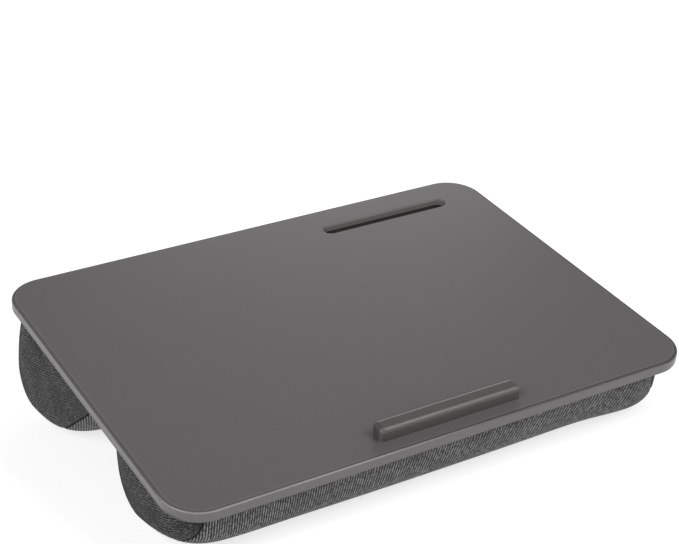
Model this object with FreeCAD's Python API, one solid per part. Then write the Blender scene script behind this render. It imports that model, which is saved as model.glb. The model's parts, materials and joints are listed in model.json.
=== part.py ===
import FreeCAD
import Part
import math
import os

# Lap tray with a two-bolster cushion. All sizes are in millimetres.
# The pieces are drawn with the board lying flat: X to the right, Y to the back, Z up, and Z zero at the
# underside of the board. At the end everything is tipped onto the plane that both bolsters rest on.

# Board
BOARD_WIDTH = 452.0
BOARD_DEPTH = 329.5
BOARD_THICK = 9.5
BOARD_CORNER_R = 30.0
BOARD_TOP_EDGE_R = 1.5
BOARD_UNDER_EDGE_R = 2.0
SKIN_THICK = 0.5

# Phone slot, a blind pocket in the board
SLOT_LENGTH = 127.0
SLOT_WIDTH = 13.0
SLOT_DEPTH = 6.5
SLOT_LIP_R = 1.2
SLOT_TO_RIGHT_EDGE = 40.0
SLOT_TO_BACK_EDGE = 33.5

# Device ledge and its screws
LEDGE_LENGTH = 125.0
LEDGE_DEPTH = 13.5
LEDGE_HEIGHT = 11.0
LEDGE_CORNER_R = 4.0
LEDGE_TOP_R = 3.5
LEDGE_TO_FRONT_EDGE = 13.5
LEDGE_SHIFT = 4.0
SCREW_COUNT = 3
SCREW_PITCH = 50.0
SCREW_DIA = 3.0
SCREW_HEAD_DIA = 6.0
SCREW_HEAD_HEIGHT = 1.7
SCREW_BITE = 7.0
SCREW_CLEARANCE = 0.4

# Cushion cover
CLOTH_THICK = 1.5
BACKING_THICK = 1.0
CUSHION_FRONT_INSET = 7.75
CUSHION_REAR_INSET = 12.75
CUSHION_SIDE_INSET = 7.0
CUSHION_CROWN = 1.5
REST_FLAT = 0.5

# Ends of the bolsters: a quarter ellipse from the full section in to the flat of the end
END_ROUND_LENGTH = 39.5
END_ROUND_INSET = 8.0
SEAM_ANGLE = 39.5
SEAM_GROOVE_R = 0.9
THREAD_DIA = 0.8

# Bolsters: each section is drawn at these sizes, then both grow or shrink alike to fill the depth of the
# board that the valley between them leaves
VALLEY_WIDTH = 37.0

# Front bolster: depth at the board, the round nose, the round heel, the long arcs between them, and how far
# the section is drawn in at the front, at the rear and upwards by the time it reaches an end
FRONT_BOLSTER_DEPTH = 125.0
FRONT_NOSE_IN = 26.5
FRONT_NOSE_DOWN = 19.5
FRONT_NOSE_R = 25.0
FRONT_HEEL_IN = 40.5
FRONT_HEEL_DOWN = 20.0
FRONT_HEEL_R = 37.0
FRONT_FACE_R = 325.0
FRONT_UNDER_R = 140.0
FRONT_BACK_R = 140.0
FRONT_END_DRAWS = (23.5, 5.5, 0.0)

# Rear bolster
REAR_BOLSTER_DEPTH = 147.0
REAR_NOSE_IN = 89.0
REAR_NOSE_DOWN = 60.0
REAR_NOSE_R = 35.5
REAR_HEEL_IN = 16.0
REAR_HEEL_DOWN = 68.0
REAR_HEEL_R = 32.5
REAR_FACE_R = 600.0
REAR_UNDER_R = 140.0
REAR_BACK_R = 160.0
REAR_END_DRAWS = (20.0, 8.0, 7.5)

# Staples that hold the backing to the board
STAPLE_PER_ROW = 6
STAPLE_PITCH = 64.0
STAPLE_TO_EDGE = 8.0
STAPLE_CROWN = 10.0
STAPLE_WIRE_WIDTH = 1.2
STAPLE_WIRE_THICK = 0.7
STAPLE_BITE = 5.5
FILL_SLACK = 0.2

V = FreeCAD.Vector
BIG = 4 * (BOARD_WIDTH + BOARD_DEPTH)


def box(x0, x1, y0, y1, z0, z1):
    """Box between two corners."""
    return Part.makeBox(x1 - x0, y1 - y0, z1 - z0, V(x0, y0, z0))


def rounded_prism(width, depth, corner_r, z0, z1, cx=0.0, cy=0.0):
    """Upright prism with a round-cornered rectangle as its plan."""
    block = box(cx - width / 2, cx + width / 2, cy - depth / 2, cy + depth / 2, z0, z1)
    upright = [e for e in block.Edges if abs(e.Vertexes[0].Z - e.Vertexes[1].Z) > (z1 - z0) / 2]
    return block.makeFillet(corner_r, upright)


def stadium(length, width, cx, cy, z0, z1):
    """Upright prism with a stadium as its plan, long in X."""
    half = (length - width) / 2
    r = width / 2
    low = V(cx - half, cy - r, z0)
    path = [
        Part.LineSegment(low, V(cx + half, cy - r, z0)).toShape(),
        Part.Arc(V(cx + half, cy - r, z0), V(cx + half + r, cy, z0), V(cx + half, cy + r, z0)).toShape(),
        Part.LineSegment(V(cx + half, cy + r, z0), V(cx - half, cy + r, z0)).toShape(),
        Part.Arc(V(cx - half, cy + r, z0), V(cx - half - r, cy, z0), low).toShape(),
    ]
    return Part.Face(Part.Wire(path)).extrude(V(0, 0, z1 - z0))


def edges_at(shape, z):
    """Edges that lie wholly at one height."""
    found = []
    for e in shape.Edges:
        bb = e.BoundBox
        if abs(bb.ZMin - z) < 1e-4 and abs(bb.ZMax - z) < 1e-4:
            found.append(e)
    return found


SLOT_X = BOARD_WIDTH / 2 - SLOT_TO_RIGHT_EDGE - SLOT_LENGTH / 2
SLOT_Y = BOARD_DEPTH / 2 - SLOT_TO_BACK_EDGE


def board_form(inset):
    """The board with its slot, drawn in by the skin's thickness for the core, or by nothing for the skin."""
    top = BOARD_THICK - inset
    width = BOARD_WIDTH - 2 * inset
    depth = BOARD_DEPTH - 2 * inset
    plate = rounded_prism(width, depth, BOARD_CORNER_R - inset, inset, top)
    plate = plate.makeFillet(BOARD_TOP_EDGE_R - inset, edges_at(plate, top))
    plate = plate.makeFillet(BOARD_UNDER_EDGE_R - inset, edges_at(plate, inset))
    floor = BOARD_THICK - SLOT_DEPTH - inset
    pocket = stadium(SLOT_LENGTH + 2 * inset, SLOT_WIDTH + 2 * inset, SLOT_X, SLOT_Y, floor, top)
    plate = plate.cut(pocket)
    lip = []
    for e in edges_at(plate, top):
        bb = e.BoundBox
        if bb.YMin > SLOT_Y - SLOT_WIDTH and bb.YMax < SLOT_Y + SLOT_WIDTH and bb.XLength < SLOT_LENGTH:
            lip.append(e)
    return plate.makeFillet(SLOT_LIP_R - inset, lip)


LEDGE_Y = -BOARD_DEPTH / 2 + LEDGE_TO_FRONT_EDGE + LEDGE_DEPTH / 2


def screw_places():
    """X of each ledge screw."""
    first = LEDGE_SHIFT - SCREW_PITCH * (SCREW_COUNT - 1) / 2
    return [first + SCREW_PITCH * i for i in range(SCREW_COUNT)]


def device_ledge():
    """Ledge with round corners and a rounded top, and a blind hole for each screw."""
    top = BOARD_THICK + LEDGE_HEIGHT
    bar = rounded_prism(LEDGE_LENGTH, LEDGE_DEPTH, LEDGE_CORNER_R, BOARD_THICK, top, LEDGE_SHIFT, LEDGE_Y)
    bar = bar.makeFillet(LEDGE_TOP_R, edges_at(bar, top))
    for x in screw_places():
        bar = bar.cut(Part.makeCylinder(SCREW_DIA / 2, SCREW_BITE, V(x, LEDGE_Y, BOARD_THICK)))
    return bar


def screw(x):
    """Countersunk screw, head flush with the underside of the board."""
    head = Part.makeCone(SCREW_HEAD_DIA / 2, SCREW_DIA / 2, SCREW_HEAD_HEIGHT, V(x, LEDGE_Y, 0))
    shank = Part.makeCylinder(SCREW_DIA / 2, BOARD_THICK + SCREW_BITE - SCREW_HEAD_HEIGHT,
                              V(x, LEDGE_Y, SCREW_HEAD_HEIGHT))
    return head.fuse(shank).removeSplitter()


def screw_way(x):
    """What a screw takes out of the board: the countersink and a clear hole."""
    sink = Part.makeCone(SCREW_HEAD_DIA / 2, SCREW_DIA / 2, SCREW_HEAD_HEIGHT, V(x, LEDGE_Y, 0))
    hole = Part.makeCylinder((SCREW_DIA + SCREW_CLEARANCE) / 2, BOARD_THICK - SCREW_HEAD_HEIGHT,
                             V(x, LEDGE_Y, SCREW_HEAD_HEIGHT))
    return sink.fuse(hole)


def circles_meet(p, rp, q, rq, best):
    """Crossing point of two circles in the Y-Z plane, the one that scores best."""
    dy, dz = q[0] - p[0], q[1] - p[1]
    gap = math.hypot(dy, dz)
    along = (rp * rp - rq * rq + gap * gap) / (2 * gap)
    off = math.sqrt(rp * rp - along * along)
    ey, ez = dy / gap, dz / gap
    one = (p[0] + along * ey - off * ez, p[1] + along * ez + off * ey)
    two = (p[0] + along * ey + off * ez, p[1] + along * ez - off * ey)
    return max((one, two), key=best)


def bearing(start, end):
    """Direction in the Y-Z plane, from a quarter turn up to a quarter turn over the full turn."""
    a = math.atan2(end[1] - start[1], end[0] - start[0])
    return a + 2 * math.pi if a < math.pi / 2 else a


class Bolster:
    """One bolster: a D section of five arcs that touch, drawn in towards both ends."""

    def __init__(self, top_front, grow, depth, nose, heel, long_arcs, draws):
        self.top_front, self.top_rear = top_front, top_front + depth * grow
        nose_in, nose_down, nose_r = nose
        heel_in, heel_down, heel_r = heel
        self.nose = (self.top_front + nose_in * grow, -nose_down * grow)
        self.heel = (self.top_rear - heel_in * grow, -heel_down * grow)
        self.nose_r, self.heel_r = nose_r * grow, heel_r * grow
        self.face_r, self.under_r, self.back_r = [r * grow for r in long_arcs]
        self.draw_front, self.draw_rear, self.draw_up = draws

    def arcs(self, draw=0.0):
        """Centre, radius and first and last bearing of each arc, front to rear."""
        front, rear, up = draw * self.draw_front, draw * self.draw_rear, draw * self.draw_up
        nose = (self.nose[0] + front, self.nose[1] + up)
        heel = (self.heel[0] - rear, self.heel[1] + up)
        a = (self.top_front + front, 0.0)
        b = (self.top_rear - rear, 0.0)
        face = circles_meet(a, self.face_r, nose, self.face_r - self.nose_r, lambda c: c[0])
        under = circles_meet(nose, self.under_r - self.nose_r,
                             heel, self.under_r - self.heel_r, lambda c: c[1])
        back = circles_meet(b, self.back_r, heel, self.back_r - self.heel_r, lambda c: -c[0])
        t1, t2 = bearing(face, nose), bearing(under, nose)
        t3, t4 = bearing(under, heel), bearing(back, heel)
        return [(face, self.face_r, None, t1), (nose, self.nose_r, t1, t2), (under, self.under_r, t2, t3),
                (heel, self.heel_r, t3, t4), (back, self.back_r, t4, None)]

    def spans(self, inset, draw, top):
        """Centre, radius and both bearings of each arc, drawn in by the inset and ended at a height."""
        found = []
        for centre, radius, a0, a1 in self.arcs(draw):
            r = radius - inset
            if a0 is None:
                a0 = math.pi - math.asin((top - centre[1]) / r)
            if a1 is None:
                a1 = 2 * math.pi + math.asin((top - centre[1]) / r)
            found.append((centre, r, a0, a1))
        return found

    def section(self, x, inset, draw, top):
        """Edges of the section at one X, from the front at the given height round to the rear."""
        edges = []
        for centre, r, a0, a1 in self.spans(inset, draw, top):
            pts = []
            for a in (a0, (a0 + a1) / 2, a1):
                pts.append(V(x, centre[0] + r * math.cos(a), centre[1] + r * math.sin(a)))
            edges.append(Part.Arc(*pts).toShape())
        return edges

    def loft(self, cover, top):
        """Solid of the whole bolster, a given cover thickness inside its outer face."""
        wires = []
        for x, inset, draw in stations(cover):
            edges = self.section(x, inset + cover, draw, top)
            close = Part.LineSegment(edges[-1].lastVertex().Point, edges[0].firstVertex().Point).toShape()
            wires.append(Part.Wire(edges + [close]))
        return Part.makeLoft(wires, True, False)


FRONT_TOP = -BOARD_DEPTH / 2 + CUSHION_FRONT_INSET
REAR_TOP = BOARD_DEPTH / 2 - CUSHION_REAR_INSET
GROW = (REAR_TOP - FRONT_TOP - VALLEY_WIDTH) / (FRONT_BOLSTER_DEPTH + REAR_BOLSTER_DEPTH)
FRONT_VALLEY = FRONT_TOP + FRONT_BOLSTER_DEPTH * GROW
REAR_VALLEY = FRONT_VALLEY + VALLEY_WIDTH
END_X = BOARD_WIDTH / 2 - CUSHION_SIDE_INSET
FULL_X = END_X - END_ROUND_LENGTH
SEAM_TURN = math.radians(SEAM_ANGLE)
SEAM_X = FULL_X + END_ROUND_LENGTH * math.sin(SEAM_TURN)
SEAM_DRAW = 1 - math.cos(SEAM_TURN)

FRONT = Bolster(
    FRONT_TOP, GROW, FRONT_BOLSTER_DEPTH, (FRONT_NOSE_IN, FRONT_NOSE_DOWN, FRONT_NOSE_R),
    (FRONT_HEEL_IN, FRONT_HEEL_DOWN, FRONT_HEEL_R), (FRONT_FACE_R, FRONT_UNDER_R, FRONT_BACK_R),
    FRONT_END_DRAWS)
REAR = Bolster(
    REAR_VALLEY, GROW, REAR_BOLSTER_DEPTH, (REAR_NOSE_IN, REAR_NOSE_DOWN, REAR_NOSE_R),
    (REAR_HEEL_IN, REAR_HEEL_DOWN, REAR_HEEL_R), (REAR_FACE_R, REAR_UNDER_R, REAR_BACK_R),
    REAR_END_DRAWS)


def stations(cover):
    """X, inset and end draw of each section of a bolster, left to right."""
    right = []
    for share in (0.25, 0.5, 0.75):
        right.append((FULL_X * share, CUSHION_CROWN * share * share, 0.0))
    for turn in (0.0, SEAM_TURN / 2, SEAM_TURN, (2 * SEAM_TURN + math.pi / 2) / 3,
                 (SEAM_TURN + math.pi) / 3, math.pi / 2):
        draw = 1 - math.cos(turn)
        x = FULL_X + (END_ROUND_LENGTH - cover) * math.sin(turn)
        right.append((x, CUSHION_CROWN + END_ROUND_INSET * draw, draw))
    left = [(-x, inset, draw) for x, inset, draw in reversed(right)]
    return left + [(0.0, 0.0, 0.0)] + right


def seam_tube(bolster, side, radius, sunk, top):
    """Tube along an end seam, a turned piece for each arc, its centre sunk below the cover's outer face."""
    x = side * SEAM_X
    inset = CUSHION_CROWN + END_ROUND_INSET * SEAM_DRAW + sunk
    turns = []
    for centre, r, a0, a1 in bolster.spans(inset, SEAM_DRAW, top):
        start = V(x, centre[0] + r * math.cos(a0), centre[1] + r * math.sin(a0))
        ring = Part.makeCircle(radius, start, V(0, -math.sin(a0), math.cos(a0)))
        disc = Part.Face(Part.Wire([ring]))
        turns.append(disc.revolve(V(x, centre[0], centre[1]), V(1, 0, 0), math.degrees(a1 - a0)))
    return turns[0].fuse(turns[1:])


def staple(x, y):
    """Flat-wire staple, its crown under the backing and its legs up in the board."""
    half = STAPLE_CROWN / 2
    w = STAPLE_WIRE_WIDTH / 2
    low = -BACKING_THICK - STAPLE_WIRE_THICK
    bar = box(x - half, x + half, y - w, y + w, low, -BACKING_THICK)
    left = box(x - half, x - half + STAPLE_WIRE_THICK, y - w, y + w, low, STAPLE_BITE)
    right = box(x + half - STAPLE_WIRE_THICK, x + half, y - w, y + w, low, STAPLE_BITE)
    return bar.fuse([left, right]).removeSplitter()


def staples():
    """Four rows of staples, one inside each long edge of the two bolsters."""
    rows = (FRONT_TOP + STAPLE_TO_EDGE, FRONT_VALLEY - STAPLE_TO_EDGE,
            REAR_VALLEY + STAPLE_TO_EDGE, REAR_TOP - STAPLE_TO_EDGE)
    first = -STAPLE_PITCH * (STAPLE_PER_ROW - 1) / 2
    return [staple(first + STAPLE_PITCH * i, y) for y in rows for i in range(STAPLE_PER_ROW)]


def cushion(parts):
    """Cover, fill and sewing of both bolsters, with the backing and the valley panel between them."""
    below = box(-BIG, BIG, -BIG, BIG, -BIG, -BACKING_THICK)
    middle = box(-SEAM_X, SEAM_X, -BIG, BIG, -BIG, BIG)
    fill_top = -BACKING_THICK - STAPLE_WIRE_THICK - FILL_SLACK
    fill_room = box(-BIG, BIG, -BIG, BIG, -BIG, fill_top)
    valley_gap = box(-SEAM_X, SEAM_X, FRONT_VALLEY - BACKING_THICK, REAR_VALLEY + BACKING_THICK,
                     -BACKING_THICK, 0.0)
    backing = valley_gap
    valley = box(-SEAM_X, SEAM_X, FRONT_VALLEY - CLOTH_THICK, REAR_VALLEY + CLOTH_THICK,
                 -BACKING_THICK - CLOTH_THICK, -BACKING_THICK)
    valley_thread = []
    for name, bolster in (("front", FRONT), ("rear", REAR)):
        outer = bolster.loft(0.0, 0.0)
        inner = bolster.loft(CLOTH_THICK, BACKING_THICK)
        backing = backing.fuse(outer.cut(below))
        valley = valley.cut(outer)
        cover = outer.common(below).cut(inner)
        threads = []
        for side in (-1, 1):
            cover = cover.cut(seam_tube(bolster, side, SEAM_GROOVE_R, 0.0, 0.0))
            sunk = SEAM_GROOVE_R - THREAD_DIA / 2
            threads.append(seam_tube(bolster, side, THREAD_DIA / 2, sunk, -BACKING_THICK - THREAD_DIA / 2))
        parts[name + "_bolster_wrap"] = [cover.common(middle)]
        ends = sorted(cover.cut(middle).Solids, key=lambda s: s.CenterOfMass.x)
        parts[name + "_bolster_left_end"] = ends[:1]
        parts[name + "_bolster_right_end"] = ends[-1:]
        parts[name + "_bolster_fill"] = [inner.common(fill_room)]
        parts[name + "_seam_threads"] = threads
        edge = FRONT_VALLEY if bolster is FRONT else REAR_VALLEY
        sense = 1 if bolster is FRONT else -1
        spot = V(-SEAM_X, edge + sense * THREAD_DIA / 2, -BACKING_THICK - CLOTH_THICK)
        thread = Part.makeCylinder(THREAD_DIA / 2, 2 * SEAM_X, spot, V(1, 0, 0)).cut(outer)
        valley_thread.append(thread)
    for thread in valley_thread:
        valley = valley.cut(thread)
    parts["cushion_backing"] = [backing.removeSplitter()]
    parts["valley_panel"] = [valley]
    parts["valley_seam_threads"] = valley_thread


def build():
    """Every node as a list of solids, still with the board lying flat."""
    parts = {}
    core = board_form(SKIN_THICK)
    skin = board_form(0.0).cut(core)
    pins = staples()
    for x in screw_places():
        way = screw_way(x)
        core = core.cut(way)
        skin = skin.cut(way)
    cushion(parts)
    legs = Part.makeCompound(pins)
    parts["top_board"] = [core.cut(legs)]
    parts["board_skin"] = [skin.cut(legs)]
    parts["device_ledge"] = [device_ledge()]
    parts["ledge_screws"] = [screw(x) for x in screw_places()]
    parts["cushion_backing"] = [parts["cushion_backing"][0].cut(legs)]
    parts["backing_staples"] = pins
    return parts


def rest_plane():
    """Tilt of the board and depth of the plane that both bolsters' undersides touch."""
    front, front_r = FRONT.arcs()[2][:2]
    rear, rear_r = REAR.arcs()[2][:2]
    dy, dz = rear[0] - front[0], rear[1] - front[1]
    tilt = math.atan2(-dz, dy) + math.asin((rear_r - front_r) / math.hypot(dy, dz))
    low = front[0] * math.sin(tilt) + front[1] * math.cos(tilt) - front_r
    return tilt, low


def stand(parts):
    """Tips every piece onto the resting plane, cuts the bolsters flat there and centres the whole."""
    tilt, low = rest_plane()
    ground = box(-BIG, BIG, -BIG, BIG, -BIG, 0.0)
    for name, solids in parts.items():
        placed = []
        for s in solids:
            s = s.copy()
            s.rotate(V(0, 0, 0), V(1, 0, 0), math.degrees(tilt))
            s.translate(V(0, 0, -low - REST_FLAT))
            if s.BoundBox.ZMin < 0:
                s = s.cut(ground)
            placed.append(s)
        parts[name] = placed
    front_y = min(s.optimalBoundingBox(False, False).YMin for s in parts["board_skin"])
    rear_y = max(s.optimalBoundingBox(False, False).YMax
                 for n in ("board_skin", "rear_bolster_wrap") for s in parts[n])
    shift = -(front_y + rear_y) / 2
    for solids in parts.values():
        for s in solids:
            s.translate(V(0, shift, 0))
    print("tilt %.3f degrees, board flat frame lifted %.3f and moved %.3f" % (
        math.degrees(tilt), -low - REST_FLAT, shift))
    return parts


def main():
    os.makedirs("parts", exist_ok=True)
    for name, solids in stand(build()).items():
        shape = Part.makeCompound([x for s in solids for x in s.Solids])
        print("%-28s %2d solids  valid %s  volume %.1f" % (
            name, len(shape.Solids), shape.isValid(), shape.Volume))
        shape.exportStep("parts/" + name + ".step")


main()
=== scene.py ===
import json
import math

import bpy
import numpy as np
from mathutils import Matrix, Vector
from mathutils.bvhtree import BVHTree


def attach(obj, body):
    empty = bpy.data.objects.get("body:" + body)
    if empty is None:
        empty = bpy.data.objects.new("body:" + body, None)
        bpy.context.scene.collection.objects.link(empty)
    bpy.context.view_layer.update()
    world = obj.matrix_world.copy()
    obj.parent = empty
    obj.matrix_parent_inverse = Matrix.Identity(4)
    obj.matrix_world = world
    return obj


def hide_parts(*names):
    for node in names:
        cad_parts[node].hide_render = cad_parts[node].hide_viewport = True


# Lap tray with a two-bolster cushion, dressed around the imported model.
# Soft pieces are built in the flat frame, which lies on the top face of the board: X to the right, Y to the
# back, Z along the board's normal. FLAT brings that frame to the tilted place of the tray.

MM = 0.001
TINY = 1e-6

# Camera, in the flat frame, and the lens on a 36 mm sensor
CAMERA_PLACE = (-595.4 * MM, -922.7 * MM, 710.9 * MM)
CAMERA_AZIMUTH = -32.56
CAMERA_ELEVATION = 31.22
CAMERA_ROLL = 3.615
CAMERA_LENS = 86.33
CAMERA_FAR = 100.0
SENSOR = 36.0

# Soft boxes, each with its place, width, height and power, and the point that they look at
SOFT_BOXES = {"key": ((-1.6, -0.6, 1.5), 1.0, 1.0, 18),
              "front": ((0.90, -1.25, 1.6), 0.45, 1.5, 19),
              "rear": ((1.13, 1.8, 0.86), 1.0, 1.0, 7)}
LIGHT_AIM = (0, 0, 0.08)

# Surroundings, which get darker from low to high, and the floor
SKY_FALL = (0.1, 0.9)
LOW_SKY = 0.70
HIGH_SKY = 0.12
FLOOR_HALF = 6.0
FLOOR_GREY = 0.5
FLOOR_GLOW = 0.72

# Form of the covers: points round each bolster, then the turns, in degrees, of the rings on a rounded end
AROUND = {"front": 44, "rear": 60}
END_ROUND = 39.5 * MM
SEAM_TURN = 39.5
INNER_TURNS = (38.3, 36.5, 33.5, 29.0, 23.0, 15.0, 6.0)
OUTER_TURNS = (40.7, 42.5, 45.5, 50.0, 55.0, 60.0, 66.0, 72.0, 78.0, 84.0)
END_SHY = 0.05 * MM
RING_PITCH = 5.0 * MM
CAP_ROWS = 10
RAYS = 241
FAR = 0.4
GROOVE_CLEAR = 1.4 * MM
TOP_SHY = 0.2 * MM
CLOTH_THICK = 1.2 * MM

# Lean of the seams, and of the rings near them, along the bolster: it changes from its first amount at the
# board to its last one underneath, between two shares of the way round
LEANS = {"front": (0.04, 0.30, -5 * MM, 9 * MM), "rear": (0.20, 0.50, -4 * MM, 3 * MM)}
LEAN_FADE = 60 * MM

# Spots where the fill is packed tighter or looser: place, reach and push
FULL_SPOTS = {"front": [((188 * MM, -143 * MM, -38 * MM), 38 * MM, (0.0, -2.0 * MM, -3.2 * MM)),
                        ((217 * MM, -120 * MM, -14 * MM), 30 * MM, (-1.0 * MM, 0.0, 0.0))],
              "rear": [((-155 * MM, 81 * MM, -90 * MM), 38 * MM, (0.0, -3.6 * MM, 0.7 * MM))]}

# Swelling of the covers
START_INSET = 0.8 * MM
SWELL_CAP = 2.4 * MM
PRESSURE = 6.0
SWELL_FRAMES = 20

# Ribs of the twill: angle to the bolster's length and pitch, at the left and right end of each wrap, and on
# the end panels
RIB_SPAN = 200 * MM
RIBS = {"front": ((91.0, 1.86 * MM), (58.0, 3.4 * MM)), "rear": ((101.8, 1.85 * MM), (101.8, 1.85 * MM))}
END_RIBS = (23.0, 2.2 * MM)

# How clearly ribs show: less towards the right on a wrap, and less where an end panel turns towards its seam
WRAP_CLEAR = 0.75
END_CLEAR = 0.66
END_CLEAR_SPAN = 0.30

# Yarns of the twill: linear greys, height on a rib where the light yarn starts, and amounts of patches and
# specks. A float is a stretch of yarn on top of the cloth
TWILLS = {"wrap": {"dark": 0.016, "light": 0.255, "start": 0.37, "patch": 0.12, "salt": 0.3},
          # The end panels' greys are darker than the wraps' as painted shade on the same cloth
          "end": {"dark": 0.007, "light": 0.088, "start": 0.55, "patch": 0.40, "salt": 1.5}}
TWILL_FLOAT = 9.0 * MM
FLOAT_SLANT = 0.3
FLOAT_SLIP = 9.0

# Seams
SEAM_TUCK = 1.5 * MM
SEAM_WIDTH = 0.9 * MM
SEAM_GAP = 0.12 * MM
PUCKER = 0.22 * MM
PUCKER_PITCH = 7.0 * MM
PUCKER_REACH = 6.0 * MM
SECOND_PUCKER = 0.6
SECOND_PITCH = 1.7
STITCH = 2.8 * MM
STITCH_GAP = 0.6 * MM
STITCH_R = 0.45 * MM
STITCH_LIFT = 0.7 * MM
STITCH_ARCH = 1.6
STITCH_RINGS = 6
STITCH_SIDES = 6

# Cloth under the board
SHEET_THICK = 0.8 * MM
EDGE_SHY = 0.05 * MM
VALLEY_SAG = 1.4 * MM
VALLEY_STEPS = 90
VALLEY_GRID = (VALLEY_STEPS, 8)
BACKING_GRID = (110, 80)

# Film of the board: its tint, its linear greys, and the ranges over which its marks begin. The marks are
# painted highlights, a painted dark reflection and painted shade along its edges, and painted light on the
# slot's walls and painted shade on its floor. The ranges are ways in from the outline, along X or Y from the
# board's middle, or up from its top face
PLUM = (1.07, 1.0, 1.03)
FILM_GREYS = (0.105, 0.110)
HIGHLIGHT_LINE_GREY = 0.140
HIGHLIGHT_LINE_INNER = (4.2 * MM, 3.6 * MM)
HIGHLIGHT_LINE_OUTER = (2.6 * MM, 3.0 * MM)
DARK_REFLECTION_GREY = 0.055
DARK_REFLECTION_IN = (2.8 * MM, 2.2 * MM)
DARK_REFLECTION_X = (-0.10, 0.08)
UNDER_SHADE_GREY = 0.030
UNDER_SHADE_RISE = (-7.4 * MM, -8.6 * MM)
UNDER_SHADE_ASIDE = 1.4 * MM
FRONT_HIGHLIGHT_GREY = 0.24
FRONT_HIGHLIGHT_X = (0.06, -0.12)
FRONT_HIGHLIGHT_Y = (-0.125, -0.142)
SLOT_WALL_LIGHT_GREY = 0.20
SLOT_RISE = (-0.3 * MM, -0.9 * MM)
SLOT_FLOOR_SHADE_GREY = 0.016
SLOT_FLOOR_SHADE_RISE = (-5.2 * MM, -6.2 * MM)
SLOT_WARM = 0.05
SLOT_MARGIN = 6 * MM
SLOT_REACH = 9 * MM
SLOT_FADE = 1 * MM
SLOT_GLOSS = 0.14
BOARD_CORNER = 30 * MM

# Moulding of the ledge: linear greys and how warm each is, the last for its painted highlight
LEDGE_GREYS = ((0.068, 0.05), (0.076, 0.045))
LEDGE_HIGHLIGHT = (0.105, 0.03)

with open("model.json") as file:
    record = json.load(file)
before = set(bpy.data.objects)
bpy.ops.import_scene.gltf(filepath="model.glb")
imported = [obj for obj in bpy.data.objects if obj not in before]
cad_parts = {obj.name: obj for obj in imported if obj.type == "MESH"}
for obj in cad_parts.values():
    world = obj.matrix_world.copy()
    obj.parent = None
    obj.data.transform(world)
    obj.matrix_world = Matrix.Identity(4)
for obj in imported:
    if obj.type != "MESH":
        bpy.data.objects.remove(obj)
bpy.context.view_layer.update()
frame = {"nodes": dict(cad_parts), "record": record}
NODES = frame["nodes"]
SCENE = bpy.context.scene


def mount(name):
    """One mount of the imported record."""
    return next(m for m in frame["record"]["mounts"] if m["name"] == name)


FACE = mount("device_face")
TILT = math.atan2(-FACE["axis"][1], FACE["axis"][2])
FLAT = Matrix.Translation(FACE["pos_m"]) @ Matrix.Rotation(TILT, 4, "X")
UNFLAT = FLAT.inverted()
SLOT = next(o for o in frame["record"]["physics"]["openings"] if o["name"] == "phone_slot")
SLOT_MIDDLE = (Vector(SLOT["box_m"][0]) + Vector(SLOT["box_m"][1])) / 2
SLOT_HALF = (SLOT["box_m"][1][0] - SLOT["box_m"][0][0]) / 2 + SLOT_MARGIN
ACROSS = (1.0, 0.0, 0.0)


def join(points, faces, more_points, more_faces):
    """Adds one mesh's points and faces to those gathered so far."""
    faces.extend([len(points) + i for i in f] for f in more_faces)
    points.extend(more_points)


def flat_mesh(*names):
    """Vertices, in the flat frame, and faces of some nodes of the frame."""
    points, faces = [], []
    for name in names:
        mesh = NODES[name].data
        join(points, faces, [UNFLAT @ v.co for v in mesh.vertices], [p.vertices for p in mesh.polygons])
    return points, faces


def flat_box(name):
    """Lowest and highest corner of a node in the flat frame."""
    points = np.array(flat_mesh(name)[0])
    return points.min(0), points.max(0)


def link(name, mesh):
    """New object for a mesh, in the scene."""
    obj = bpy.data.objects.new(name, mesh)
    SCENE.collection.objects.link(obj)
    return obj


def new_mesh(name, points, faces):
    """Mesh from points and faces."""
    mesh = bpy.data.meshes.new(name)
    mesh.from_pydata([tuple(p) for p in points], [], faces)
    mesh.update()
    return mesh


def mesh_points(mesh):
    """Vertex places of a mesh as an array."""
    out = np.zeros(len(mesh.vertices) * 3)
    mesh.vertices.foreach_get("co", out)
    return out.reshape(-1, 3)


def mesh_normals(mesh):
    """Vertex normals of a mesh as an array."""
    out = np.zeros(len(mesh.vertices) * 3)
    mesh.vertices.foreach_get("normal", out)
    return out.reshape(-1, 3)


def into_place(mesh):
    """Brings a mesh from the flat frame to the tilted place of the tray, and shades it smooth."""
    mesh.transform(FLAT)
    mesh.polygons.foreach_set("use_smooth", [True] * len(mesh.polygons))


def set_weave(mesh, weave):
    """Gives each point of a mesh the cloth's own measure there."""
    mesh.attributes.new("weave", "FLOAT_VECTOR", "POINT")
    mesh.attributes["weave"].data.foreach_set("vector", np.array(weave).ravel())


def set_material(mesh, material):
    """Gives a mesh one material, in place of any other."""
    mesh.materials.clear()
    mesh.materials.append(material)


# Materials


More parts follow.
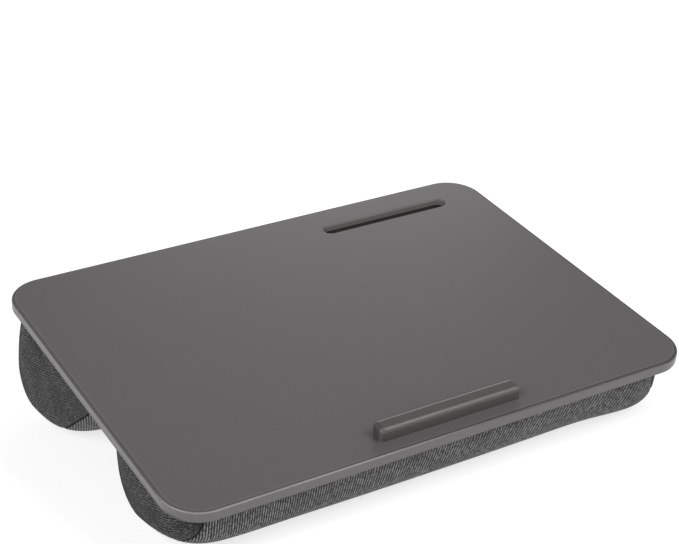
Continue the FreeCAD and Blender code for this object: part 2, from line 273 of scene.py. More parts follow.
class Look:
    """Builds the node tree of one material."""

    def __init__(self, name):
        self.material = bpy.data.materials.new(name)
        self.material.use_nodes = True
        self.tree = self.material.node_tree
        self.shader = self.tree.nodes["Principled BSDF"]

    def put(self, socket, value):
        """Sets an input, or links it where the value is another node's output."""
        if isinstance(value, bpy.types.NodeSocket):
            self.tree.links.new(value, socket)
        else:
            socket.default_value = value

    def node(self, kind, settings=None, **inputs):
        """New node with its settings and inputs."""
        n = self.tree.nodes.new(kind)
        for key, value in (settings or {}).items():
            setattr(n, key, value)
        for key, value in inputs.items():
            self.put(n.inputs[key.replace("_", " ")], value)
        return n

    def math(self, operation, a, b=0.0):
        """Output of one math node."""
        n = self.tree.nodes.new("ShaderNodeMath")
        n.operation = operation
        self.put(n.inputs[0], a)
        self.put(n.inputs[1], b)
        return n.outputs[0]

    def times(self, product, *others):
        """Product of some values."""
        for value in others:
            product = self.math("MULTIPLY", product, value)
        return product

    def between(self, one, two, share):
        """Value between two values."""
        return self.math("ADD", self.times(self.math("SUBTRACT", two, one), share), one)

    def ramp(self, value, low, high, to_low=0.0, to_high=1.0):
        """Value brought from one range to another, smoothly."""
        n = self.node("ShaderNodeMapRange", {"interpolation_type": "SMOOTHSTEP"}, Value=value)
        for key, number in (("From Min", low), ("From Max", high), ("To Min", to_low), ("To Max", to_high)):
            n.inputs[key].default_value = number
        return n.outputs[0]

    def noise(self, vector, scale, detail=2.0):
        """Noise from about 0 to 1."""
        return self.node("ShaderNodeTexNoise", Vector=vector, Scale=scale, Detail=detail).outputs[0]

    def mix(self, share, one, two):
        """Colour between two colours."""
        n = self.node("ShaderNodeMix", {"data_type": "RGBA"})
        self.put(n.inputs[0], share)
        self.put(n.inputs[6], one)
        self.put(n.inputs[7], two)
        return n.outputs[2]

    def bump(self, height, distance, strength=1.0):
        """Bump to the shader's normal."""
        n = self.node("ShaderNodeBump", Height=height, Distance=distance, Strength=strength)
        self.put(self.shader.inputs["Normal"], n.outputs[0])

    def set(self, **inputs):
        """Inputs of the shader."""
        for key, value in inputs.items():
            self.put(self.shader.inputs[key.replace("_", " ")], value)

    def along(self, vector, way):
        """Share of a vector along a fixed direction."""
        n = self.node("ShaderNodeVectorMath", {"operation": "DOT_PRODUCT"})
        self.put(n.inputs[0], vector)
        self.put(n.inputs[1], tuple(way))
        return n.outputs["Value"]

    def place(self):
        """Place on the object, in metres."""
        return self.node("ShaderNodeTexCoord").outputs["Object"]

    def normal(self):
        """Way that the surface faces."""
        return self.node("ShaderNodeNewGeometry").outputs["Normal"]


def grey(value, warm=0.0):
    """Linear colour near grey, warmer or cooler by a share."""
    return (value * (1 + warm), value, value * (1 - warm), 1.0)


def tinted(value):
    """Linear grey with the faint plum tint of the board."""
    return (*(value * share for share in PLUM), 1.0)


def twill(name, dark, light, start, patch, salt):
    """Heathered twill: each rib is a row of floats of light or dark yarn. The cloth's measure gives the way
    along the ribs in metres, the count of ribs across them and how clearly they show against the loose
    grain."""
    look = Look(name)
    place = look.place()
    cloth = look.node("ShaderNodeAttribute", {"attribute_name": "weave"}).outputs["Vector"]
    length, count, clear = look.node("ShaderNodeSeparateXYZ", Vector=cloth).outputs

    # Cells of the weave: one float of one rib each
    across = look.math("ADD", count, look.times(look.noise(place, 30.0, 1.0), 0.6))
    rib = look.math("FLOOR", across)
    slip = look.node("ShaderNodeTexWhiteNoise", {"noise_dimensions": "1D"}, W=rib).outputs["Value"]
    along = look.math("ADD", look.math("DIVIDE", length, TWILL_FLOAT), look.times(slip, FLOAT_SLIP))
    cell = look.node("ShaderNodeCombineXYZ", X=rib, Y=look.math("FLOOR", along)).outputs[0]
    tone = look.node("ShaderNodeTexWhiteNoise", {"noise_dimensions": "2D"}, Vector=cell).outputs["Value"]

    # Height: round ribs, or loose grain where the ribs don't show
    ridge = look.math("SINE", look.times(look.math("FRACT", across), math.pi))
    crown = look.math("SINE", look.times(look.math("FRACT", along), math.pi))
    ribs = look.times(look.math("POWER", ridge, 1.4), look.math("POWER", crown, 0.15))
    grain = look.ramp(look.noise(place, 950.0, 1.0), 0.22, 0.78)
    height = look.between(grain, ribs, clear)

    # Colour: light yarn on the ribs, uneven in its fibres and in patches, and light specks
    yarn = look.times(look.ramp(tone, 0.0, 1.0, 0.6, 1.0), look.ramp(ribs, start, 0.95))
    yarn = look.between(look.ramp(grain, 0.2, 0.8, 0.07, 0.38), yarn, clear)
    fibre = look.ramp(look.noise(place, 1100.0, 2.0), 0.3, 0.7, 0.6, 1.4)
    fade = look.ramp(look.noise(place, 40.0, 3.0), 0.3, 0.7, 1.0 - patch, 1.0 + patch)
    speck = look.times(look.ramp(look.noise(place, 620.0, 0.0), 0.61, 0.68), salt,
                       look.ramp(look.noise(place, 60.0, 2.0), 0.32, 0.58))
    lit = look.math("ADD", look.times(yarn, fibre, fade), speck)
    look.set(Base_Color=look.mix(lit, grey(dark), grey(light, 0.004)),
             Roughness=look.ramp(height, 0.0, 1.0, 0.95, 0.80), Sheen_Weight=0.06, Sheen_Roughness=0.5,
             Specular_IOR_Level=0.2)
    look.bump(height, 0.3 * MM, 0.7)
    return look.material


def way_in(look, x, y, half_x, half_y):
    """Way in from the outline of the board, a rectangle with round corners, near its edge."""
    past = []
    for value, half in ((x, half_x), (y, half_y)):
        over = look.math("SUBTRACT", look.math("ABSOLUTE", value), half - BOARD_CORNER)
        over = look.math("MAXIMUM", over, 0.0)
        past.append(look.times(over, over))
    return look.math("SUBTRACT", BOARD_CORNER, look.math("POWER", look.math("ADD", *past), 0.5))


def film():
    """Satin film over the board. It has a painted dark reflection just inside its edges, a painted highlight
    line beside it, painted shade where it turns under, a painted highlight along the front edge's left part,
    painted light on the slot's walls and painted shade on the slot's floor, and it is glossier in the slot."""
    look = Look("satin_film")
    place, normal = look.place(), look.normal()
    back, up = FLAT.col[1].to_3d(), FLAT.col[2].to_3d()
    low, high = flat_box("board_skin")
    half_x, half_y = (high[0] - low[0]) / 2, (high[1] - low[1]) / 2
    x = look.along(place, ACROSS)
    depth = look.along(place, back)
    y = look.math("SUBTRACT", depth, FLAT.translation.dot(back) + (low[1] + high[1]) / 2)
    rise = look.math("SUBTRACT", look.along(place, up), FLAT.translation.dot(up))
    facing = look.along(normal, up)
    inset = way_in(look, x, y, half_x, half_y)

    # Painted highlights, painted dark reflection and painted shade along the edges
    # Painted highlight: a pale line on the top face just inside the edges
    line = look.times(look.ramp(inset, *HIGHLIGHT_LINE_INNER), look.ramp(inset, *HIGHLIGHT_LINE_OUTER),
                      look.ramp(facing, 0.90, 0.98, 0.0, 0.7))
    # Painted dark reflection: a dark line on the edge's rounding, stronger towards the right
    dark_reflection = look.times(look.ramp(facing, 0.40, 0.70), look.ramp(inset, *DARK_REFLECTION_IN),
                        look.ramp(x, *DARK_REFLECTION_X, 0.40, 1.0))
    # Painted shade: darker low on the board's edges, where the board sits on the cushion
    aside = look.ramp(look.math("ABSOLUTE", look.along(normal, ACROSS)), 0.6, 0.9, 0.0, UNDER_SHADE_ASIDE)
    under = look.ramp(look.math("SUBTRACT", rise, aside), *UNDER_SHADE_RISE)
    # Painted highlight on the front edge's rounding, towards its left
    front_highlight = look.times(look.ramp(facing, 0.15, 0.45), look.ramp(facing, 0.85, 0.99, 1.0, 0.0),
                        look.ramp(x, *FRONT_HIGHLIGHT_X), look.ramp(y, *FRONT_HIGHLIGHT_Y),
                        look.ramp(look.noise(place, 70.0, 3.0), 0.25, 0.75, 0.75, 1.0))

    # The slot, with painted light on its walls and painted shade on its floor
    off_x = look.math("ABSOLUTE", look.math("SUBTRACT", x, SLOT_MIDDLE.x))
    off_y = look.math("ABSOLUTE", look.math("SUBTRACT", depth, SLOT_MIDDLE.dot(back)))
    slot = look.times(look.ramp(off_x, SLOT_HALF + SLOT_FADE, SLOT_HALF),
                      look.ramp(off_y, SLOT_REACH + SLOT_FADE, SLOT_REACH), look.ramp(rise, *SLOT_RISE))
    # Painted shade on the slot's floor
    floor = look.times(slot, look.ramp(rise, *SLOT_FLOOR_SHADE_RISE))

    colour = look.mix(look.noise(place, 9.0, 3.0), *(tinted(value) for value in FILM_GREYS))
    # Painted highlights, painted dark reflection and painted shade laid over the film's colour
    marks = ((line, HIGHLIGHT_LINE_GREY), (dark_reflection, DARK_REFLECTION_GREY), (under, UNDER_SHADE_GREY), (front_highlight, FRONT_HIGHLIGHT_GREY))
    for share, value in marks:
        colour = look.mix(share, colour, tinted(value))
    # Painted light on the slot's walls, then painted shade on its floor
    for share, value in ((slot, SLOT_WALL_LIGHT_GREY), (floor, SLOT_FLOOR_SHADE_GREY)):
        colour = look.mix(share, colour, grey(value, SLOT_WARM))
    satin = look.ramp(look.noise(place, 22.0, 4.0), 0.3, 0.7, 0.355, 0.375)
    satin = look.math("SUBTRACT", satin, look.times(slot, SLOT_GLOSS))
    look.set(Base_Color=colour, Roughness=satin, Specular_IOR_Level=0.5)
    look.bump(look.noise(place, 900.0, 2.0), 0.05 * MM, 0.2)
    return look.material


def moulding():
    """Satin moulding of the ledge, with a painted highlight along its front ridge and its front corners."""
    look = Look("satin_moulding")
    place = look.place()
    fore = look.along(look.normal(), -FLAT.col[1].to_3d())
    # Painted highlight where the moulding turns from its front face
    ridge_highlight = look.times(look.ramp(fore, 0.05, 0.25), look.ramp(fore, 0.80, 0.95, 1.0, 0.0))
    colour = look.mix(look.noise(place, 40.0), *(grey(*value) for value in LEDGE_GREYS))
    look.set(Base_Color=look.mix(ridge_highlight, colour, grey(*LEDGE_HIGHLIGHT)),
             Roughness=look.ramp(look.noise(place, 60.0, 3.0), 0.3, 0.7, 0.37, 0.39), Specular_IOR_Level=0.5)
    return look.material


def backing_cloth():
    """Plain black non-woven cloth with pressed dimples."""
    look = Look("nonwoven")
    place = look.place()
    dots = look.node("ShaderNodeTexVoronoi", Vector=place, Scale=420.0).outputs["Distance"]
    fibre = look.noise(place, 1400.0, 4.0)
    look.set(Base_Color=look.mix(fibre, grey(0.018), grey(0.034)), Roughness=0.95, Specular_IOR_Level=0.15)
    look.bump(look.math("ADD", look.ramp(dots, 0.1, 0.6), look.math("MULTIPLY", fibre, 0.5)), 0.2 * MM, 0.6)
    return look.material


def sewing_thread():
    """Dark twisted thread."""
    look = Look("sewing_thread")
    place = look.place()
    twist = look.node("ShaderNodeTexWave", Vector=place, Scale=900.0).outputs["Fac"]
    look.set(Base_Color=look.mix(twist, grey(0.006), grey(0.016)), Roughness=0.8)
    look.bump(twist, 0.08 * MM, 0.5)
    return look.material


def fibreboard():
    """Raw pressed fibre."""
    look = Look("fibreboard")
    place = look.place()
    fibre = look.noise(place, 500.0, 5.0)
    look.set(Base_Color=look.mix(fibre, (0.27, 0.18, 0.10, 1), (0.42, 0.30, 0.19, 1)), Roughness=0.9)
    look.bump(fibre, 0.1 * MM, 0.5)
    return look.material


def steel():
    """Zinc plated steel."""
    look = Look("zinc_steel")
    place = look.place()
    spangle = look.noise(place, 700.0, 3.0)
    look.set(Base_Color=look.mix(spangle, grey(0.50), grey(0.62)), Metallic=1.0,
             Roughness=look.ramp(spangle, 0.3, 0.7, 0.25, 0.4))
    return look.material


# Covers


def cover_stations(end_x):
    """X of each ring of a cover, left to right, with the places of the two seam rings in that list."""
    full = end_x - END_ROUND

    def turned(turn):
        return full + END_ROUND * math.sin(math.radians(turn))

    count = round(full / RING_PITCH)
    half = [full * i / count for i in range(count + 1)]
    half += [turned(t) for t in reversed(INNER_TURNS)]
    seam = len(half)
    half += [turned(SEAM_TURN)] + [turned(t) for t in OUTER_TURNS] + [end_x - END_SHY]
    xs = [-x for x in reversed(half[1:])] + half
    middle = len(half) - 1
    return xs, (middle - seam, middle + seam)


def run_along(points):
    """Way along a line of points, at each of them."""
    return np.concatenate([[0.0], np.cumsum(np.linalg.norm(np.diff(points, axis=0), axis=1))])


def even(points, count):
    """Points of a line spaced evenly along it, and the line's length."""
    run = run_along(points)
    at = np.linspace(0.0, run[-1], count + 1)
    return np.stack([np.interp(at, run, points[:, k]) for k in range(3)], axis=1), run[-1]


def smooth(value):
    """Eases from 0 to 1."""
    value = min(1.0, max(0.0, value))
    return value * value * (3 - 2 * value)


def rib_wave(angle, pitch):
    """Ribs counted per metre along and square to a bolster's length."""
    turn = math.radians(angle)
    return np.array((math.sin(turn), math.cos(turn))) / pitch


def end_measure(across, up, clear):
    """Way along the ribs of an end panel, the count of ribs and how clearly they show."""
    turn = math.radians(END_RIBS[0])
    wave = rib_wave(*END_RIBS)
    return np.array((across * math.cos(turn) - up * math.sin(turn), across * wave[0] + up * wave[1], clear))


def wrap_measure(ribs, x, down):
    """The same on a wrap, where angle and pitch change evenly from its left to its right end."""
    left, right = (rib_wave(*r) for r in ribs)
    middle, slope = (left + right) / 2, (right - left) / (2 * RIB_SPAN)
    count = middle[0] * x + slope[0] * x * x / 2 + (middle[1] + slope[1] * x) * down
    return np.array((down - FLOAT_SLANT * x, count, WRAP_CLEAR - x))


class Skin:
    """The outside of one bolster's solids, met by rays square to X."""

    def __init__(self, panels, groove):
        self.tree = BVHTree.FromPolygons(*flat_mesh(*panels))
        low, high = flat_box(panels[0])
        self.middle = ((low[1] + high[1]) / 2, high[2] - TOP_SHY)
        self.groove = groove

    def meet(self, x, a):
        """Where the ray at one X and bearing meets the outside."""
        out = Vector((0.0, math.cos(a), math.sin(a)))
        return self.tree.ray_cast(Vector((x, *self.middle)) + out * FAR, -out)[0]

    def point(self, x, a):
        """The same, carried straight across the groove of the seam."""
        off = abs(x) - self.groove
        if abs(off) > GROOVE_CLEAR:
            return self.meet(x, a)
        side = math.copysign(1.0, x)
        one = self.meet(side * (self.groove - GROOVE_CLEAR), a)
        two = self.meet(side * (self.groove + GROOVE_CLEAR), a)
        return one.lerp(two, 0.5 + off / (2 * GROOVE_CLEAR)) if one and two else None

    def section(self, x, lean, count):
        """Points round the bolster near one X, from its front top down and round to its rear top."""
        points = []
        for t in np.linspace(0.0, 1.0, RAYS):
            hit = self.point(x + lean(t), math.pi * (1 + t))
            if hit is not None:
                points.append(hit)
        return even(np.array(points), count)


class Cover:
    """Grid over one bolster: rings round its section from end to end, and rows of points over each end."""

    def __init__(self, name):
        self.name, self.around, self.lean = name, AROUND[name], LEANS[name]
        panels = [name + "_bolster_" + p for p in ("wrap", "left_end", "right_end")]
        end_x = flat_box(panels[2])[1][0]
        self.xs, self.seams = cover_stations(end_x)
        self.seam_x = self.xs[self.seams[1]]
        self.end_x = end_x
        skin = Skin(panels, self.seam_x)
        self.points, self.weave = [], []
        self.rings = [self.ring(skin, x) for x in self.xs]
        self.caps = {side: self.cap(side) for side in (-1, 1)}

    def add(self, point, weave):
        """New point with the cloth's measure there."""
        self.points.append(np.array(point))
        self.weave.append(np.array(weave))
        return len(self.points) - 1

    def leaning(self, x):
        """How far a ring runs towards the end at each share of the way round: in full along the seam."""
        start, stop, first, last = self.lean
        near = (self.end_x - abs(x)) / (self.end_x - self.seam_x)
        if abs(x) < self.seam_x:
            near = (abs(x) - self.seam_x + LEAN_FADE) / LEAN_FADE
        part = math.copysign(smooth(near), x)
        return lambda t: part * (first + (last - first) * smooth((min(t, 1 - t) - start) / (stop - start)))

    def ring(self, skin, x):
        """One ring, with the cloth's own measure round it."""
        points, length = skin.section(x, self.leaning(x), self.around)
        ring = []
        for i, p in enumerate(points):
            down = length * i / self.around
            ring.append(self.add(p, wrap_measure(RIBS[self.name], p[0], down)))
        return ring

    def cap(self, side):
        """Rows over one end, from the last ring up to the line under the board."""
        rim = self.rings[0 if side < 0 else -1]
        first, last = self.points[rim[0]], self.points[rim[-1]]
        rows = [rim]
        for j in range(1, CAP_ROWS + 1):
            row = [rim[0]]
            for i in range(1, self.around):
                top = first + (last - first) * (i / self.around)
                low = self.points[rim[i]]
                row.append(self.add(low + (top - low) * (j / CAP_ROWS), (0.0, 0.0, 0.0)))
            rows.append(row + [rim[-1]])
        return rows

    def ring_faces(self, first, last):
        """Faces between two rings."""
        faces = []
        for s in range(first, last):
            a, b = self.rings[s], self.rings[s + 1]
            faces += [(a[i], a[i + 1], b[i + 1], b[i]) for i in range(self.around)]
        return faces

    def cap_faces(self, side):
        """Faces over one end."""
        faces = []
        for low, high in zip(self.caps[side], self.caps[side][1:]):
            for i in range(self.around):
                face = [low[i], high[i], high[i + 1], low[i + 1]]
                face = list(dict.fromkeys(face))
                faces.append(tuple(face if side < 0 else reversed(face)))
        return faces

    def all_faces(self):
        """Faces of the wrap and of both ends."""
        return self.ring_faces(0, len(self.rings) - 1) + self.cap_faces(-1) + self.cap_faces(1)

    def lid_faces(self):
        """Faces that close the top while the cover swells."""
        faces = []
        n = len(self.rings) - 1
        for s in range(1, n - 1):
            a, b = self.rings[s], self.rings[s + 1]
            faces.append((a[0], b[0], b[-1], a[-1]))
        a, b = self.rings[0], self.rings[1]
        faces.append((a[0], b[0], b[-1], *reversed(self.caps[-1][-1][1:])))
        a, b = self.rings[n - 1], self.rings[n]
        faces.append((a[0], *self.caps[1][-1], a[-1]))
        return faces

    def edge(self):
        """Points that stay on the line under the board."""
        found = {i for ring in self.rings for i in (ring[0], ring[-1])}
        return found | set(self.caps[-1][-1]) | set(self.caps[1][-1])

    def seam_rings(self):
        """The two rings that are sewn."""
        return [self.rings[s] for s in self.seams]


def swell(cover):
    """Cloth under pressure, from a slightly smaller form. Each point ends on the cover's own form or outside
    it."""
    mesh = new_mesh("swell", cover.points, cover.all_faces() + cover.lid_faces())
    edge = cover.edge()
    form = np.array(cover.points)
    normals = mesh_normals(mesh)
    start = form.copy()
    free = np.array([i not in edge for i in range(len(start))])
    start[free] -= normals[free] * START_INSET
    mesh.vertices.foreach_set("co", start.ravel())
    obj = link("swell", mesh)
    held = obj.vertex_groups.new(name="held")
    held.add(sorted(edge | {i for ring in cover.seam_rings() for i in ring}), 1.0, "REPLACE")
    cloth = obj.modifiers.new("Cloth", "CLOTH")
    cloth.settings.use_pressure = True
    cloth.settings.uniform_pressure_force = PRESSURE
    cloth.settings.effector_weights.gravity = 0.0
    cloth.settings.vertex_group_mass = "held"
    cloth.point_cache.frame_end = SWELL_FRAMES
    for f in range(1, SWELL_FRAMES + 1):
        SCENE.frame_set(f)
    moved = mesh_points(obj.evaluated_get(bpy.context.evaluated_depsgraph_get()).data) - form
    out = np.clip((moved * normals).sum(1), 0.0, SWELL_CAP)
    print(cover.name, "swells by", out.mean() / MM, "mm on average and", out.max() / MM, "mm at most")
    SCENE.frame_set(1)
    bpy.data.objects.remove(obj)
    bpy.data.meshes.remove(mesh)
    return form + normals * out[:, None]


def settle(points):
    """Points kept above the surface that the tray stands on."""
    placed = np.array([FLAT @ Vector(p) for p in points])
    placed[:, 2] = np.maximum(placed[:, 2], 0.0)
    return np.array([UNFLAT @ Vector(p) for p in placed])


def cover_normals(cover, points):
    """Normals of a cover's surface at its points."""
    mesh = new_mesh("normals", points, cover.all_faces())
    normals = mesh_normals(mesh)
    bpy.data.meshes.remove(mesh)
    return normals


def fuller(cover, points):
    """Points pushed out or in round some spots, where the fill is packed tighter or looser."""
    out = points.copy()
    edge = sorted(cover.edge())
    for place, reach, push in FULL_SPOTS[cover.name]:
        away = np.linalg.norm(points - np.array(place), axis=1)
        out += np.outer(np.exp(-(away / reach) ** 2), push)
    out[edge] = points[edge]
    return out


def sew(cover, points):
    """Pulls the cloth in along the seams, with small puckers beside them."""
    normals = cover_normals(cover, points)
    out = points.copy()
    for s in cover.seams:
        seam = cover.rings[s]
        line = points[seam]
        run = run_along(line)
        wave = np.sin(2 * math.pi * run / PUCKER_PITCH)
        wave += SECOND_PUCKER * np.sin(2 * math.pi * run / (PUCKER_PITCH * SECOND_PITCH) + s)
        for ring in cover.rings:
            away = np.linalg.norm(points[ring] - line, axis=1)
            pull = SEAM_TUCK * np.exp(-(away / SEAM_WIDTH) ** 2)
            pull += PUCKER * wave * np.exp(-away / PUCKER_REACH) * (1 - np.exp(-(away / SEAM_WIDTH) ** 2))
            out[ring] -= normals[ring] * pull[:, None]
    return out


def end_weave(cover, side):
    """The cloth's measure over an end panel, taken flat across the end. The ribs fade where the panel turns
    towards its seam."""
    normals = cover_normals(cover, cover.points)
    rings = cover.rings[:cover.seams[0] + 1] if side < 0 else cover.rings[cover.seams[1]:]
    weave = dict(enumerate(cover.weave))
    for row in rings + cover.caps[side]:
        for i in row:
            clear = smooth((abs(normals[i][0]) - END_CLEAR) / END_CLEAR_SPAN)
            weave[i] = end_measure(-side * cover.points[i][1], cover.points[i][2], clear)
    return weave


def cloth_piece(name, points, faces, weave, material, replaced):
    """Finished panel of cloth: subdivided once and given its thickness."""
    used = sorted({i for f in faces for i in f})
    place = {old: new for new, old in enumerate(used)}
    mesh = new_mesh(name, [points[i] for i in used], [[place[i] for i in f] for f in faces])
    set_weave(mesh, [weave[i] for i in used])
    into_place(mesh)
    obj = link(name + "_build", mesh)
    obj.modifiers.new("Round", "SUBSURF").levels = 1
    thick = obj.modifiers.new("Thick", "SOLIDIFY")
    thick.thickness = CLOTH_THICK
    thick.offset = -1.0
    done = bpy.data.meshes.new_from_object(obj.evaluated_get(bpy.context.evaluated_depsgraph_get()))
    bpy.data.objects.remove(obj)
    piece = link(name, done)
    done.name = name
    set_material(done, material)
    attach(piece, "root")
    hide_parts(*replaced)
    return piece


def apart(cover, points, side):
    """Points with the seam rings moved a little to one side, so that the two panels don't share a face."""
    out = points.copy()
    for s, sign in zip(cover.seams, (-1, 1)):
        out[cover.rings[s], 0] += sign * side * SEAM_GAP
    return out


def dress(name, cloths):
    """The wrap and both end panels of one bolster."""
    cover = Cover(name)
    points = np.array(cover.points)
    points = swell(cover)
    points = sew(cover, settle(fuller(cover, points)))
    left, right = cover.seams
    last = len(cover.rings) - 1
    node = name + "_bolster_"
    wrap = cloth_piece(name + "_cover_wrap", apart(cover, points, -1), cover.ring_faces(left, right),
                       cover.weave, cloths["wrap"], [node + "wrap", node + "fill"])
    for side, word, first, stop in ((-1, "left", 0, left), (1, "right", right, last)):
        faces = cover.ring_faces(first, stop) + cover.cap_faces(side)
        panel = cloth_piece("%s_cover_%s_end" % (name, word), apart(cover, points, 1), faces,
                            end_weave(cover, side), cloths["end"], [node + word + "_end"])
    return cover, points


# Stitches


def tube(path, radius, sides):
    """Points and faces of a closed tube along a path."""
    points, faces = [], []
    for i, p in enumerate(path):
        ahead = (path[min(i + 1, len(path) - 1)] - path[max(i - 1, 0)]).normalized()
        side = ahead.orthogonal().normalized()
        other = ahead.cross(side)
        for k in range(sides):
            turn = 2 * math.pi * k / sides
            points.append(p + (side * math.cos(turn) + other * math.sin(turn)) * radius)
    for i in range(len(path) - 1):
        for k in range(sides):
            a, b = i * sides + k, i * sides + (k + 1) % sides
            faces.append((a, b, b + sides, a + sides))
    last = (len(path) - 1) * sides
    faces += [tuple(reversed(range(sides))), tuple(range(last, last + sides))]
    return points, faces


def stitch_row(line, up):
    """Stitches along a line of points: each comes out of the cloth, lies on it and goes in again."""
    line, up = np.array(line), np.array(up)
    run = run_along(line)
    points, faces = [], []
    for k in range(int(run[-1] / (STITCH + STITCH_GAP))):
        first = k * (STITCH + STITCH_GAP)
        path = []
        for t in np.linspace(0.0, 1.0, STITCH_RINGS):
            at = first + STITCH * t
            rise = STITCH_LIFT + STITCH_R * (STITCH_ARCH * math.sin(math.pi * t) ** 0.5 - 1.0)
            place = Vector(np.interp(at, run, line[:, c]) for c in range(3))
            path.append(place + Vector(np.interp(at, run, up[:, c]) for c in range(3)) * rise)
        join(points, faces, *tube(path, STITCH_R, STITCH_SIDES))
    return points, faces


def stitches(name, rows, material, replaced):
    """All the stitches of some rows as one piece."""
    points, faces = [], []
    for line, up in rows:
        join(points, faces, *stitch_row(line, up))
    mesh = new_mesh(name, points, faces)
    into_place(mesh)
    set_material(mesh, material)
    piece = link(name, mesh)
    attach(piece, "root")
    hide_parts(replaced)
    return piece


def seam_rows(cover, points):
    """The two sewn rings of a cover, with the way out of the cloth at each point."""
    rows = []
    for ring in cover.seam_rings():
        line = points[ring]
        middle = line.mean(0)
        middle[2] = line[:, 2].max()
        up = line - middle
        up[:, 0] = 0.0
        rows.append((line, up / np.maximum(np.linalg.norm(up, axis=1), TINY)[:, None]))
    return rows


def valley_rows():
    """The two straight seams beside the valley, read from the threads of the frame."""
    points = np.array(flat_mesh("valley_seam_threads")[0])
    middle = (points[:, 1].min() + points[:, 1].max()) / 2
    rows = []
    for part in (points[points[:, 1] < middle], points[points[:, 1] > middle]):
        low, high = part.min(0), part.max(0)
        y, z = (low[1] + high[1]) / 2, (low[2] + high[2]) / 2
        line = [(x, y, z) for x in np.linspace(low[0], high[0], VALLEY_STEPS)]
        rows.append((line, [(0.0, 0.0, -1.0)] * VALLEY_STEPS))
    return rows


# Sheets


def sheet_grid(name, steps_x, steps_y, sag):
    """Closed thin sheet over the outline of a node, which sags between its long edges."""
    tree = BVHTree.FromPolygons(*flat_mesh(name))
    low, high = flat_box(name)
    middle = (low + high) / 2
    xs = np.linspace(low[0] + EDGE_SHY, high[0] - EDGE_SHY, steps_x + 1)
    points, rows = [], {}
    for layer, z in ((0, low[2]), (1, low[2] + SHEET_THICK)):
        for i, x in enumerate(xs):
            ends = []
            for sign in (-1, 1):
                start = Vector((x, middle[1] + sign * FAR, middle[2]))
                ends.append(tree.ray_cast(start, Vector((0.0, -sign, 0.0)))[0][1])
            for j in range(steps_y + 1):
                t = j / steps_y
                rows[layer, i, j] = len(points)
                points.append((x, ends[0] + (ends[1] - ends[0]) * t, z - sag * math.sin(math.pi * t)))
    faces = []
    for i in range(steps_x):
        for j in range(steps_y):
            square = [(i, j), (i + 1, j), (i + 1, j + 1), (i, j + 1)]
            faces.append([rows[1, a, b] for a, b in square])
            faces.append([rows[0, a, b] for a, b in reversed(square)])
    rim = [(i, 0) for i in range(steps_x)] + [(steps_x, j) for j in range(steps_y)]
    rim += [(i, steps_y) for i in range(steps_x, 0, -1)] + [(0, j) for j in range(steps_y, 0, -1)]
    for (a, b), (c, d) in zip(rim, rim[1:] + rim[:1]):
        faces.append((rows[0, a, b], rows[0, c, d], rows[1, c, d], rows[1, a, b]))
    return points, faces, high - low


def sheet_piece(name, node, steps, sag, material):
    """A thin cloth in place of one node."""
    points, faces, size = sheet_grid(node, *steps, sag)
    mesh = new_mesh(name, points, faces)
    set_weave(mesh, [wrap_measure(RIBS["front"], q[0], q[1]) for q in points])
    into_place(mesh)
    set_material(mesh, material)
    piece = link(name, mesh)
    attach(piece, "root")
    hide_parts(node)
    return piece


# Scene


def camera():
    """Camera at the photograph's place and angle."""
    a, e, roll = (math.radians(d) for d in (CAMERA_AZIMUTH, CAMERA_ELEVATION, CAMERA_ROLL))
    back = Vector((math.sin(a) * math.cos(e), -math.cos(a) * math.cos(e), math.sin(e)))
    level = Vector((math.cos(a), math.sin(a), 0.0))
    steep = back.cross(level)
    right = level * math.cos(roll) + steep * math.sin(roll)
    up = steep * math.cos(roll) - level * math.sin(roll)
    turn = Matrix((right, up, back)).transposed().to_4x4()
    data = bpy.data.cameras.new("camera")
    data.sensor_width = SENSOR
    data.lens = CAMERA_LENS
    data.clip_end = CAMERA_FAR
    cam = link("camera", data)
    cam.matrix_world = FLAT @ Matrix.Translation(CAMERA_PLACE) @ turn
    SCENE.camera = cam


def soft_box(name, place, aim, width, height, power):
    """Area light that looks at a point."""
    data = bpy.data.lights.new(name, "AREA")
    data.shape = "RECTANGLE"
    data.size = width
    data.size_y = height
    data.energy = power
    lamp = link(name, data)
    lamp.location = place
    lamp.rotation_euler = (Vector(aim) - Vector(place)).to_track_quat("-Z", "Y").to_euler()


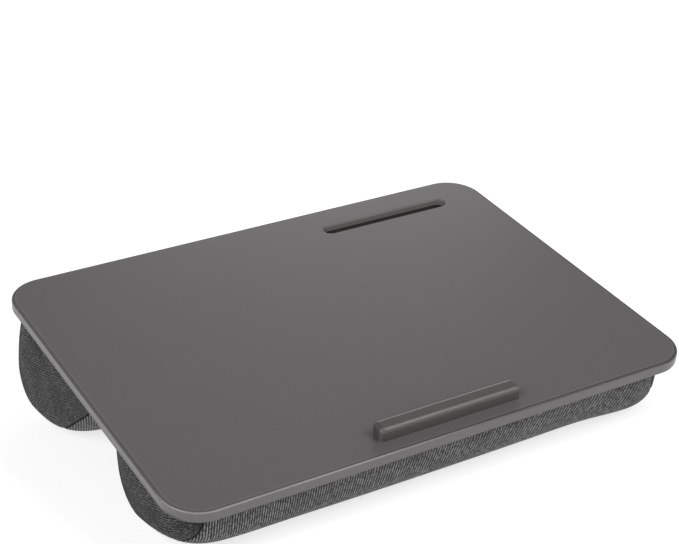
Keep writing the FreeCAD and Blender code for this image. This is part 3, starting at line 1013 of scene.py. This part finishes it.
def studio():
    """White floor, bright surroundings and soft boxes."""
    world = bpy.data.worlds.new("surroundings")
    world.use_nodes = True
    tree = world.node_tree
    toward = tree.nodes.new("ShaderNodeTexCoord").outputs["Generated"]
    split = tree.nodes.new("ShaderNodeSeparateXYZ")
    tree.links.new(toward, split.inputs[0])
    fall = tree.nodes.new("ShaderNodeMapRange")
    tree.links.new(split.outputs[2], fall.inputs["Value"])
    for key, value in zip(("From Min", "From Max", "To Min", "To Max"), (*SKY_FALL, LOW_SKY, HIGH_SKY)):
        fall.inputs[key].default_value = value
    tree.links.new(fall.outputs[0], tree.nodes["Background"].inputs["Strength"])
    tree.nodes["Background"].inputs["Color"].default_value = (1.0, 1.0, 1.0, 1.0)
    SCENE.world = world
    SCENE.view_settings.view_transform = "Standard"
    corners = [(x * FLOOR_HALF, y * FLOOR_HALF, 0) for x, y in ((-1, -1), (1, -1), (1, 1), (-1, 1))]
    floor = link("floor", new_mesh("floor", corners, [(0, 1, 2, 3)]))
    look = Look("white_floor")
    look.set(Base_Color=grey(FLOOR_GREY), Roughness=0.9, Emission_Color=grey(1.0),
             Emission_Strength=FLOOR_GLOW)
    set_material(floor.data, look.material)
    for name, (place, width, height, power) in SOFT_BOXES.items():
        soft_box(name, place, LIGHT_AIM, width, height, power)


def finish_node(name, material):
    """A node of the frame that stays, with its finished material."""
    set_material(NODES[name].data, material)
    NODES[name].modifiers.new("Even", "WEIGHTED_NORMAL").keep_sharp = True


def main():
    """Dresses the frame, then sets up the camera and the studio."""
    cloths = {kind: twill("twill_" + kind, **yarns) for kind, yarns in TWILLS.items()}
    thread = sewing_thread()
    for name in AROUND:
        rows = seam_rows(*dress(name, cloths))
        stitches(name + "_seam_stitches", rows, thread, name + "_seam_threads")
    stitches("valley_seam_stitches", valley_rows(), thread, "valley_seam_threads")
    sheet_piece("valley_cloth", "valley_panel", VALLEY_GRID, VALLEY_SAG, cloths["wrap"])
    sheet_piece("cushion_backing_cloth", "cushion_backing", BACKING_GRID, 0.0, backing_cloth())
    metal = steel()
    for name, material in (("board_skin", film()), ("device_ledge", moulding()), ("top_board", fibreboard()),
                           ("ledge_screws", metal), ("backing_staples", metal)):
        finish_node(name, material)
    camera()
    studio()


main()
